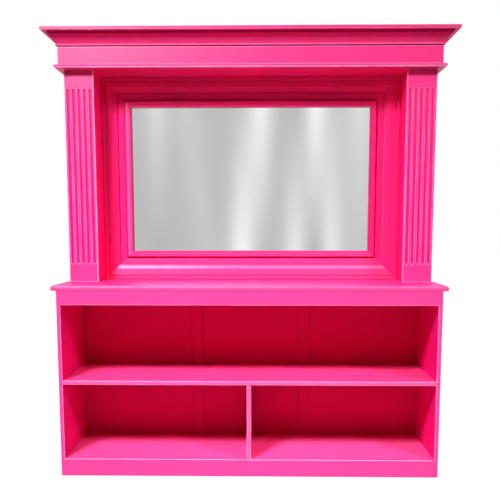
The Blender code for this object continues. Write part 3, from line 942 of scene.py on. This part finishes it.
@dataclass(frozen=True)
class Pilaster:
    """One box pilaster: a fluted face, its outer side, the reveal and the cleat inside its foot."""

    side: str
    # Painted highlight along the face's arrises, set for each pilaster.
    arris_highlight: float
    arris: float = 0.0036
    flute_count: int = 5
    flute_pitch: float = 0.0275
    flute_radius: float = 0.0085
    flute_depth: float = 0.0080
    flute_end_margin: float = 0.089
    flute_sides: int = 48
    flute_rings: int = 25
    flute_arris: float = 0.0016
    # Painted shade on the deeper part of each flute.
    flute_shade: float = -1.0
    shaded_depth: Span = (0.72, 1.1)

    def build(self) -> None:
        """Build and dress the pilaster."""
        self.add_face()
        hidden = Face.FRONT | Face.TOP | Face.FOOT
        add_board(f"hutch_side_{self.side}", SATIN_PAINT, hidden)
        # The reveal takes the darker copy of the pink as painted shade.
        add_board(f"niche_reveal_{self.side}", REVEAL_SHADE_PAINT, hidden | Face.BACK)
        add_board(f"fixing_cleat_{self.side}", PLYWOOD)

    def add_face(self) -> None:
        """Add the face board and cut its flutes."""
        work = Board(f"pilaster_face_{self.side}")
        work.ease_free_edges(Face.BACK | Face.TOP | Face.FOOT, self.arris, self.arris_highlight)
        blank = place_object(f"{work.name}_blank", work.to_mesh(f"{work.name}_blank"))
        rods = place_object(f"{work.name}_rods", self.flute_rods(work))
        flutes = blank.modifiers.new("flutes", "BOOLEAN")
        flutes.operation = "DIFFERENCE"
        flutes.object = rods
        graph = bpy.context.evaluated_depsgraph_get()
        mesh = bpy.data.meshes.new_from_object(blank.evaluated_get(graph))
        for item in (blank, rods):
            bpy.data.objects.remove(item)
        self.finish_flutes(work, mesh)
        add_piece(work.name, mesh, PILASTER_PAINT, work.run, work.node)

    def finish_flutes(self, board: Board, mesh: bpy.types.Mesh) -> None:
        """Ease the rims of the flutes as wear and painted highlight, and paint shade inside them.

        Args:
            board: The face board as it was sawn.
            mesh: The board with its flutes cut.
        """
        middle = (board.low + board.high) / 2
        front = board.low.y
        work = Workpiece(board.node, "flutes", UP)
        work.shape.from_mesh(mesh)
        work.mark = work.shape.faces.layers.float[WEAR_AND_PAINTED_LIGHT]
        rim = []
        for edge in work.shape.edges:
            in_front = all(abs(vertex.co.y - front) < TOUCH for vertex in edge.verts)
            if in_front and edge.is_manifold and edge.calc_face_angle() > ARRIS_ANGLE:
                rim.append(edge)
        reach = self.flute_pitch * self.flute_count / 2
        wall, floor = (front + self.flute_depth * share for share in self.shaded_depth)
        for face in work.shape.faces:
            place = face.calc_center_median()
            if abs(place.x - middle.x) < reach and wall < place.y < floor:
                face[work.mark] = self.flute_shade
        work.ease(rim, self.flute_arris, steps=2)
        work.shape.to_mesh(mesh)
        work.shape.free()

    def flute_rods(self, board: Board) -> bpy.types.Mesh:
        """Make the round-ended rods that cut the flutes.

        Args:
            board: The face board.

        Returns:
            One mesh with a rod for each flute.
        """
        middle = (board.low + board.high) / 2
        half_run = (board.high.z - board.low.z) / 2 - self.flute_end_margin - self.flute_radius
        axis_y = board.low.y - self.flute_radius + self.flute_depth
        shape = bmesh.new()
        for index in range(self.flute_count):
            rod = bmesh.ops.create_uvsphere(
                shape, u_segments=self.flute_sides, v_segments=self.flute_rings, radius=self.flute_radius
            )
            for vertex in rod["verts"]:
                vertex.co.z += math.copysign(half_run, vertex.co.z)
            shift = (index - (self.flute_count - 1) / 2) * self.flute_pitch
            bmesh.ops.translate(shape, verts=rod["verts"], vec=(middle.x + shift, axis_y, middle.z))
        return make_mesh("flute_rods", shape)


class Member(NamedTuple):
    """The painted highlight, and painted shade where negative, on the strips of one side of the mirror's
    surround.
    """

    arris: float
    step: float
    band: float
    lip: float


# By side: the bottom band holds the frame's painted shadow, the left step and lip deep painted shade, the
# top lip a painted highlight.
MEMBERS = {
    "bottom": Member(1.0, -0.3, -1.0, 0.0),
    "right": Member(1.0, -0.3, -0.5, -0.6),
    "top": Member(0.0, -0.3, -0.5, 0.35),
    "left": Member(0.0, -0.9, -0.5, -0.8),
}


@dataclass(frozen=True)
class MirrorSurround:
    """The mirror with the mitred casing and frame around it, and what lies behind it."""

    gap: float = 0.0003
    glass_arris: float = 0.0012
    # The silver's level, set to the grey seen in the mirror, and its streaks are a painted reflection.
    silver: float = 0.505
    streaks: tuple[ReflectionStreak, ...] = (
        ReflectionStreak(-0.49, -0.49, 0.06, 0.165, -0.035),
        ReflectionStreak(-0.34, -0.23, 0.08, 0.075, 0.06),
        ReflectionStreak(0.055, 0.045, 0.065, 0.36, 0.0),
        ReflectionStreak(-0.03, -0.047, 0.07, 0.03, 0.40),
        ReflectionStreak(0.337, 0.337, 0.055, 0.38, -0.07),
        ReflectionStreak(0.237, 0.237, 0.065, -0.02, 0.29),
        ReflectionStreak(0.41, 0.43, 0.06, 0.07, 0.28),
        ReflectionStreak(0.57, 0.57, 0.10, 0.19, 0.06),
    )
    frame_width: float = 0.031
    frame_rise: float = 0.016
    frame_edge: float = 0.003
    frame_flat: float = 0.016
    frame_step: float = 0.002
    frame_inner_edge: float = 0.0015
    frame_lip: float = 0.005
    # Painted light on the left frame member's flat.
    frame_painted_light: float = 0.24
    casing_width: float = 0.121
    bead_width: float = 0.019
    bead_radius: float = 0.004
    bead_proud: float = 0.002
    quirk_width: float = 0.004
    quirk_depth: float = 0.006
    # Painted shade in the casing's quirk.
    quirk_shade: float = -0.1
    flat_rise: float = 0.026
    flat_width: float = 0.027
    # Painted light on the bottom casing's flats, and a painted highlight on its cove that fades to the
    # right.
    flat_painted_light: float = 0.12
    cove_width: float = 0.024
    cove_drop: float = 0.010
    cove_hollow: float = 0.0004
    cove_painted_light: float = 1.3
    highlight_cove: Span = (0.25, 0.80)
    lip_width: float = 0.004
    lip_step: float = 0.004
    moulding_arris: float = 0.0010
    # Widths of the painted shade next to the frame and below the cove's lip.
    shaded_band: float = 0.009
    shaded_step: float = 0.005
    fade_reach: float = 0.7
    fade_least: float = 0.3

    @property
    def flat_start(self) -> float:
        """Give where the casing's flat starts, in from the niche."""
        return self.bead_width + self.quirk_width

    @property
    def cove_start(self) -> float:
        """Give where the casing's cove starts, in from the niche."""
        return self.flat_start + self.flat_width

    @property
    def lip_end(self) -> float:
        """Give where the lip past the casing's cove ends, in from the niche."""
        return self.cove_start + self.cove_width + self.lip_width

    def build(self) -> None:
        """Build and dress the mirror, its surround and its back."""
        add_board("hutch_back_panel", PLYWOOD)
        add_board("mirror_backing", HARDBOARD)
        height = tuple(corner.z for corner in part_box("mirror_glass"))
        reflection_silver = SilverWithPaintedReflection("silvered_glass", "silvered_glass", self.silver, self.streaks, height)
        add_board("mirror_glass", reflection_silver, radius=self.glass_arris)
        self.add_members("mirror_casing", self.casing_section(), self.casing_patches, ("bottom",))
        self.add_members("mirror_frame", self.frame_section(), self.frame_patches, ("bottom", "left"))

    def casing_section(self) -> Section:
        """Give the casing's section.

        Returns:
            Its points, as distance in from the niche and rise from its seat.
        """
        rise = self.flat_rise + self.bead_proud
        radius = self.bead_radius
        width = self.bead_width
        quirk_level = self.flat_rise - self.quirk_depth
        cove_end = self.cove_start + self.cove_width
        cove_level = self.flat_rise - self.cove_drop
        lip_end = self.lip_end
        band_level = cove_level - self.lip_step
        inner = self.casing_width - self.gap
        section = [(0.0, 0.0)]
        section += quarter((0.0, rise - radius), (radius, rise), False)
        section += quarter((width - radius, rise), (width, rise - radius), True)
        section += [(width, quirk_level), (self.flat_start, quirk_level), (self.flat_start, self.flat_rise)]
        section += hollow((self.cove_start, self.flat_rise), (cove_end, cove_level), -self.cove_hollow)
        section += [(lip_end, cove_level), (lip_end, band_level), (lip_end + self.shaded_step, band_level)]
        section += [(inner - self.shaded_band, band_level), (inner, band_level), (inner, 0.0)]
        return section

    def casing_patches(self, side: str) -> list[Patch]:
        """Give the casing's painted shade in its quirk, step and band, and the painted light on the foot's
        flat and cove.

        Args:
            side: The side of the surround.

        Returns:
            The patches.
        """
        slack = self.moulding_arris
        flat_start, cove_start, lip_end = self.flat_start, self.cove_start, self.lip_end
        quirk_top = self.flat_rise - slack
        low = (slack, self.flat_rise - self.cove_drop - slack)
        band = (self.casing_width - self.shaded_band, self.casing_width)
        patches = [
            Patch((self.bead_width - slack, flat_start + slack), (slack, quirk_top), self.quirk_shade),
            Patch((lip_end - slack / 2, lip_end + slack / 2), low, FULL_SHADE),
            Patch((lip_end, lip_end + self.shaded_step), low, MEMBERS[side].step),
            Patch(band, low, MEMBERS[side].band),
        ]
        if side == "bottom":
            wear_and_highlight = tuple(cove_start + (lip_end - cove_start) * share for share in self.highlight_cove)
            top = (quirk_top, self.flat_rise + slack)
            patches.append(Patch((flat_start, cove_start), top, self.flat_painted_light))
            patches.append(Patch(wear_and_highlight, (low[1], self.flat_rise), self.cove_painted_light))
        return patches

    def frame_section(self) -> Section:
        """Give the mirror frame's section.

        Returns:
            Its points, as distance in from its own outer edge and rise from its seat.
        """
        edge = self.frame_edge
        flat = self.frame_flat
        rise = self.frame_rise
        level = rise - self.frame_step
        inner = self.frame_inner_edge
        width = self.frame_width
        section = [(0.0, 0.0)]
        section += quarter((0.0, rise - edge), (edge, rise), False)
        section += quarter((flat, rise), (flat + self.frame_step, level), True, steps=6)
        section += [(width - self.frame_lip, level)]
        section += quarter((width - inner, level), (width, level - inner), True, steps=5)
        section += [(width, 0.0)]
        return section

    def frame_patches(self, side: str) -> list[Patch]:
        """Give the frame's painted shade on its inner wall, painted light or shade on its lip, and painted
        light on the left flat.

        Args:
            side: The side of the surround.

        Returns:
            The patches.
        """
        slack = self.frame_inner_edge / 2
        width = self.frame_width
        wall_top = self.frame_rise - self.frame_step - self.frame_inner_edge
        patches = [
            Patch((width - self.frame_lip, width), (0.0, self.frame_rise), MEMBERS[side].lip),
            Patch((width - slack, width + slack), (0.0, wall_top), FULL_SHADE),
        ]
        if side == "left":
            flat = (self.frame_edge, self.frame_flat)
            patches.append(Patch(flat, (wall_top, self.frame_rise + slack), self.frame_painted_light))
        return patches

    def add_members(
        self,
        name: str,
        section: Section,
        patches: Callable[[str], Sequence[Patch]],
        pale: Sequence[str],
    ) -> None:
        """Add the four mitred members of a frame where their solids are.

        Args:
            name: The start of the four solids' names.
            section: The members' common cross-section.
            patches: Gives the strips of painted highlight and painted shade on one side of the frame.
            pale: The sides whose members are in the paler paint, as painted light.
        """
        low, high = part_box(f"{name}_left")
        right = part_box(f"{name}_right")[1].x
        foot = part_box(f"{name}_bottom")[0].z
        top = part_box(f"{name}_top")[1].z
        places = ((low.x, foot), (right, foot), (right, top), (low.x, top))
        corners = [Vector((across, high.y, level)) for across, level in places]
        for index, (side, member) in enumerate(MEMBERS.items()):
            ends = (corners[index], corners[(index + 1) % len(corners)])
            inward = FORWARD.cross((ends[1] - ends[0]).normalized())
            work = Moulding(f"{name}_{side}", section, ends, inward, FORWARD)
            work.ease_arrises(self.moulding_arris, member.arris)
            work.mark_patches(patches(side))
            # The painted highlight on the bottom member fades away from its left end.
            if side == "bottom":
                work.fade(self.fade_reach, self.fade_least)
            work.cut_ends(Mitre.INSIDE, Mitre.INSIDE, self.gap / 2)
            # Lit sides take the paler paint as painted light, the others the deeper copy as painted shade.
            work.add(SATIN_PAINT if side in pale else CASING_SHADE_PAINT)


@dataclass(frozen=True)
class Cornice:
    """The head of the hutch: soffit, frieze, mitred crown and cap."""

    gap: float = 0.0003
    arris: float = 0.0015
    soffit_noses: Pair = (0.006, 0.006)
    # Painted highlight on the soffit's lower nose, painted shade on its underside.
    soffit_highlight: float = 1.5
    soffit_shade: float = -0.32
    cap_noses: Pair = (0.0025, 0.0025)
    # Painted highlight on the cap's lower nose.
    cap_highlight: float = 1.0
    crown_height: float = 0.060
    foot_projection: float = 0.007
    foot_height: float = 0.008
    bead_radius: float = 0.002
    # Painted highlight on the crown's foot bead.
    bead_highlight: float = 0.36
    cove_start: float = 0.004
    cove_run: float = 0.0325
    cove_hollow: float = 0.003
    # Painted shade on the crown's upper cove, painted light on its lower part.
    cove_shade: float = -0.06
    cove_painted_light: float = 0.10
    pale_share: float = 0.5
    fillet_height: float = 0.003
    lip_height: float = 0.0085
    lip_run: float = 0.0125
    # Painted shade on the crown's lip under the cap.
    lip_shade: float = -0.8
    # Painted shadow line on the frieze under the crown, and painted highlight lines below it.
    shadow_line: float = 0.004
    highlight_line: Span = (0.004, 0.008)
    highlight_line_drop: float = 0.003
    highlight_line_level: float = 0.45

    @property
    def fillet_top(self) -> float:
        """Give the height of the fillet between the crown's cove and its lip."""
        return self.crown_height - self.lip_height

    def build(self) -> None:
        """Build and dress the cornice."""
        shade = ((Face.FOOT, self.soffit_shade),)
        # The soffit takes the deeper copy of the pink as painted shade.
        add_nosed_board("soffit_board", CASING_SHADE_PAINT, self.soffit_noses, self.soffit_highlight, shade)
        add_nosed_board("cap_board", GLOSS_PAINT, self.cap_noses, self.cap_highlight)
        self.add_frieze_front()
        joined = Face.TOP | Face.FOOT | Face.FRONT
        for side in SIDES:
            add_board(f"frieze_return_{side}", GLOSS_PAINT, joined, self.arris)
        add_board("cornice_back", PLYWOOD, radius=self.arris)
        self.add_crown()

    def add_frieze_front(self) -> None:
        """Add the frieze's front board, with a painted shadow line under the crown and painted highlight
        lines below it.
        """
        work = Board("frieze_front")
        work.ease_free_edges(Face.TOP | Face.FOOT | Face.BACK, self.arris)
        height = work.high.z - work.low.z
        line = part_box("crown_front")[0].z - self.shadow_line - work.low.z
        upper_highlight_line = (line - self.highlight_line_drop, line)
        for rise in (line, *self.highlight_line, upper_highlight_line[0]):
            work.score(work.low.z + rise)
        front = (-self.gap, self.gap)
        patches = [Patch(front, span, self.highlight_line_level) for span in (self.highlight_line, upper_highlight_line)]
        work.mark_patches([*patches, Patch(front, (line, height), FULL_SHADE)])
        work.add(GLOSS_PAINT)

    def crown_patches(self) -> tuple[Patch, ...]:
        """Give the crown's painted highlight on its bead and lower cove, and painted shade on its
        underside, upper cove and lip.

        Returns:
            The patches.
        """
        out = self.foot_projection
        slack = self.gap / 2
        half = self.cove_start + self.cove_run * self.pale_share
        bead_top = self.foot_height + slack
        lip = (self.fillet_top + slack, self.crown_height - slack)
        return (
            Patch((out - self.bead_radius, out + slack), (slack, bead_top), self.bead_highlight),
            Patch((0.0, out), (-slack, slack), FULL_SHADE),
            Patch((self.cove_start, half), (bead_top, self.fillet_top), self.cove_painted_light),
            Patch((half, BEYOND), (slack, self.fillet_top), self.cove_shade),
            Patch((self.cove_start, BEYOND), lip, self.lip_shade),
        )

    def crown_section(self) -> Section:
        """Give the crown's section.

        Returns:
            Its points, as projection from the frieze and height above its foot.
        """
        out = self.foot_projection
        top = self.foot_height
        radius = self.bead_radius
        cove_end = self.cove_start + self.cove_run
        fillet_foot = self.fillet_top - self.fillet_height
        lip_end = cove_end + self.lip_run
        section = [(self.gap, 0.0)]
        section += quarter((out - radius, 0.0), (out, radius), True, steps=4)
        section += quarter((out, top - radius), (out - radius, top), False, steps=4)
        section += hollow((self.cove_start, top), (cove_end, fillet_foot), self.cove_hollow)
        section += quarter((cove_end, self.fillet_top), (lip_end, self.crown_height), False)
        section += [(self.gap, self.crown_height)]
        return section

    def add_crown(self) -> None:
        """Add the crown's front and its two returns, mitred at the corners."""
        low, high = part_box("frieze_front")
        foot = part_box("crown_front")[0].z
        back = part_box("crown_return_left")[1].y
        corners = {"left": Vector((low.x, low.y, foot)), "right": Vector((high.x, low.y, foot))}
        self.add_length("crown_front", (corners["left"], corners["right"]), FORWARD, Mitre.OUTSIDE)
        for side, sign in SIDES.items():
            ends = (corners[side], Vector((corners[side].x, back, foot)))
            self.add_length(f"crown_return_{side}", ends, Vector((sign, 0.0, 0.0)), Mitre.SQUARE)

    def add_length(self, node: str, ends: tuple[Vector, Vector], outward: Vector, last: Mitre) -> None:
        """Add one length of the crown, mitred at its start.

        Args:
            node: The solid that it stands for.
            ends: Where it starts and ends on the frieze.
            outward: The way that it projects.
            last: The cut at its end.
        """
        work = Moulding(node, self.crown_section(), ends, outward, UP, spare=self.cove_run * 2)
        work.mark_patches(self.crown_patches())
        work.cut_ends(Mitre.OUTSIDE, last, self.gap / 2)
        # The crown takes the deeper copy of the pink as painted shade.
        work.add(CASING_SHADE_PAINT)


class Light(Enum):
    """What a lamp gives, as whether it lights a surface and whether the surface mirrors it."""

    FULL = (True, True)
    SHEEN = (False, True)
    FILL = (True, False)


@dataclass(frozen=True)
class Softbox:
    """A square studio lamp that points at the furniture."""

    name: str
    place: Point
    aim: Point
    side: float
    power: float
    spread: float
    light: Light = Light.FULL

    def build(self) -> None:
        """Hang the lamp."""
        data = bpy.data.lights.new(self.name, "AREA")
        data.shape = "SQUARE"
        data.size = self.side
        data.energy = self.power
        data.spread = math.radians(self.spread)
        lamp = place_object(self.name, data)
        lamp.visible_diffuse, lamp.visible_glossy = self.light.value
        lamp.location = self.place
        lamp.rotation_euler = (Vector(self.aim) - Vector(self.place)).to_track_quat("-Z", "Y").to_euler()


@dataclass(frozen=True)
class Studio:
    """The white studio: lamps, surroundings, floor and camera."""

    lamps: tuple[Softbox, ...] = (
        Softbox("left_softbox", (-2.10, -3.84, 4.60), (0.0, -0.25, 0.0), 1.1, 72.0, 62.0),
        Softbox("right_softbox", (4.20, -4.24, 4.84), (0.2, -0.25, 0.0), 1.1, 22.0, 44.0),
        Softbox("left_sheen", (-1.50, -2.20, 3.40), (-0.6, 0.0, 1.9), 0.5, 130.0, 120.0, Light.SHEEN),
        Softbox("rear_left_softbox", (-4.00, 3.20, 3.00), (0.0, 0.2, 1.1), 1.2, 42.0, 80.0, Light.FILL),
        Softbox("rear_right_softbox", (4.00, 3.20, 3.00), (0.0, 0.2, 1.1), 1.2, 42.0, 80.0, Light.FILL),
    )
    ambient: float = 0.03
    floor_half_side: float = 40.0
    floor_level: float = -0.0005
    floor_tone: float = 0.45
    seen_glow: float = 0.88
    seen_tone: float = 0.20
    glow_reach: Span = (1.2, 3.5)
    camera_place: Point = (0.0753, -3.6185, 1.1972)
    camera_pitch: float = 7.11
    camera_turn: float = 1.01
    lens: float = 51.81
    sensor: float = 36.0
    shift: Pair = (-0.004, 0.1370)

    def build(self) -> None:
        """Set up the studio."""
        bpy.context.scene.view_settings.view_transform = "Standard"
        for lamp in self.lamps:
            lamp.build()
        self.add_surroundings()
        self.add_floor()
        self.add_camera()

    def seen(self, graph: Graph) -> Socket:
        """Give 1 where a thing is looked at, straight or in a reflection, and 0 where it only lights.

        Args:
            graph: The nodes of the thing's material or world.

        Returns:
            The socket of the value.
        """
        path = graph.add("LightPath", {}).outputs
        mirrored = graph.maths("MAXIMUM", path["Is Glossy Ray"], path["Is Transmission Ray"])
        return graph.maths("MAXIMUM", path["Is Camera Ray"], mirrored)

    def add_surroundings(self) -> None:
        """Surround everything with white, dimmer as a light than it looks."""
        world = bpy.data.worlds.new("white_room")
        bpy.context.scene.world = world
        graph = Graph(world, "Background")
        level = graph.span(self.seen(graph), UNIT, (self.ambient, 1.0))
        graph.feed(graph.shader, {"Color": WHITE, "Strength": level})

    def add_floor(self) -> None:
        """Lay the pale floor, which looks white where no shadow falls."""
        shape = bmesh.new()
        bmesh.ops.create_grid(shape, x_segments=1, y_segments=1, size=self.floor_half_side)
        bmesh.ops.translate(shape, verts=shape.verts, vec=(0.0, 0.0, self.floor_level))
        mesh = make_mesh("floor", shape)
        mesh.materials.append(self.floor_material())
        floor = place_object("floor", mesh)

    def floor_material(self) -> bpy.types.Material:
        """Give the floor's material: matt white with a glow that only shows to the eye.

        Returns:
            The material.
        """
        material = bpy.data.materials.new("pale_floor")
        graph = Graph(material)
        lighting = graph.add("BsdfDiffuse", {"Color": (self.floor_tone,) * 3})
        shadowed = graph.add("BsdfDiffuse", {"Color": (self.seen_tone,) * 3})
        away = graph.add("VectorMath", {0: graph.place()}, operation="LENGTH").outputs["Value"]
        glow = graph.add("Emission", {"Strength": graph.span(away, self.glow_reach, (self.seen_glow, 1.0))})
        shown = graph.add("AddShader", {0: shadowed.outputs[0], 1: glow.outputs[0]})
        inputs = {0: self.seen(graph), 1: lighting.outputs[0], 2: shown.outputs[0]}
        mixed = graph.add("MixShader", inputs)
        graph.tree.nodes.remove(graph.shader)
        graph.feed(graph.tree.nodes["Material Output"], {"Surface": mixed.outputs[0]})
        return material

    def add_camera(self) -> None:
        """Stand the camera in front, a little right of the middle, looking slightly down."""
        data = bpy.data.cameras.new("camera")
        data.lens = self.lens
        data.sensor_width = self.sensor
        data.shift_x, data.shift_y = self.shift
        camera = place_object("camera", data)
        camera.location = self.camera_place
        turn = math.radians(self.camera_turn)
        camera.rotation_euler = (math.radians(90.0 - self.camera_pitch), 0.0, turn)
        bpy.context.scene.camera = camera


def main() -> None:
    """Build the back bar from the floor up, then the studio around it."""
    logging.basicConfig(level=logging.INFO, format="%(message)s")
    BaseCabinet().build()
    # The left pilaster's arrises take a stronger painted highlight than the right's.
    Pilaster("left", arris_highlight=1.4).build()
    Pilaster("right", arris_highlight=0.7).build()
    MirrorSurround().build()
    Cornice().build()
    Studio().build()


if __name__ == "__main__":
    main()
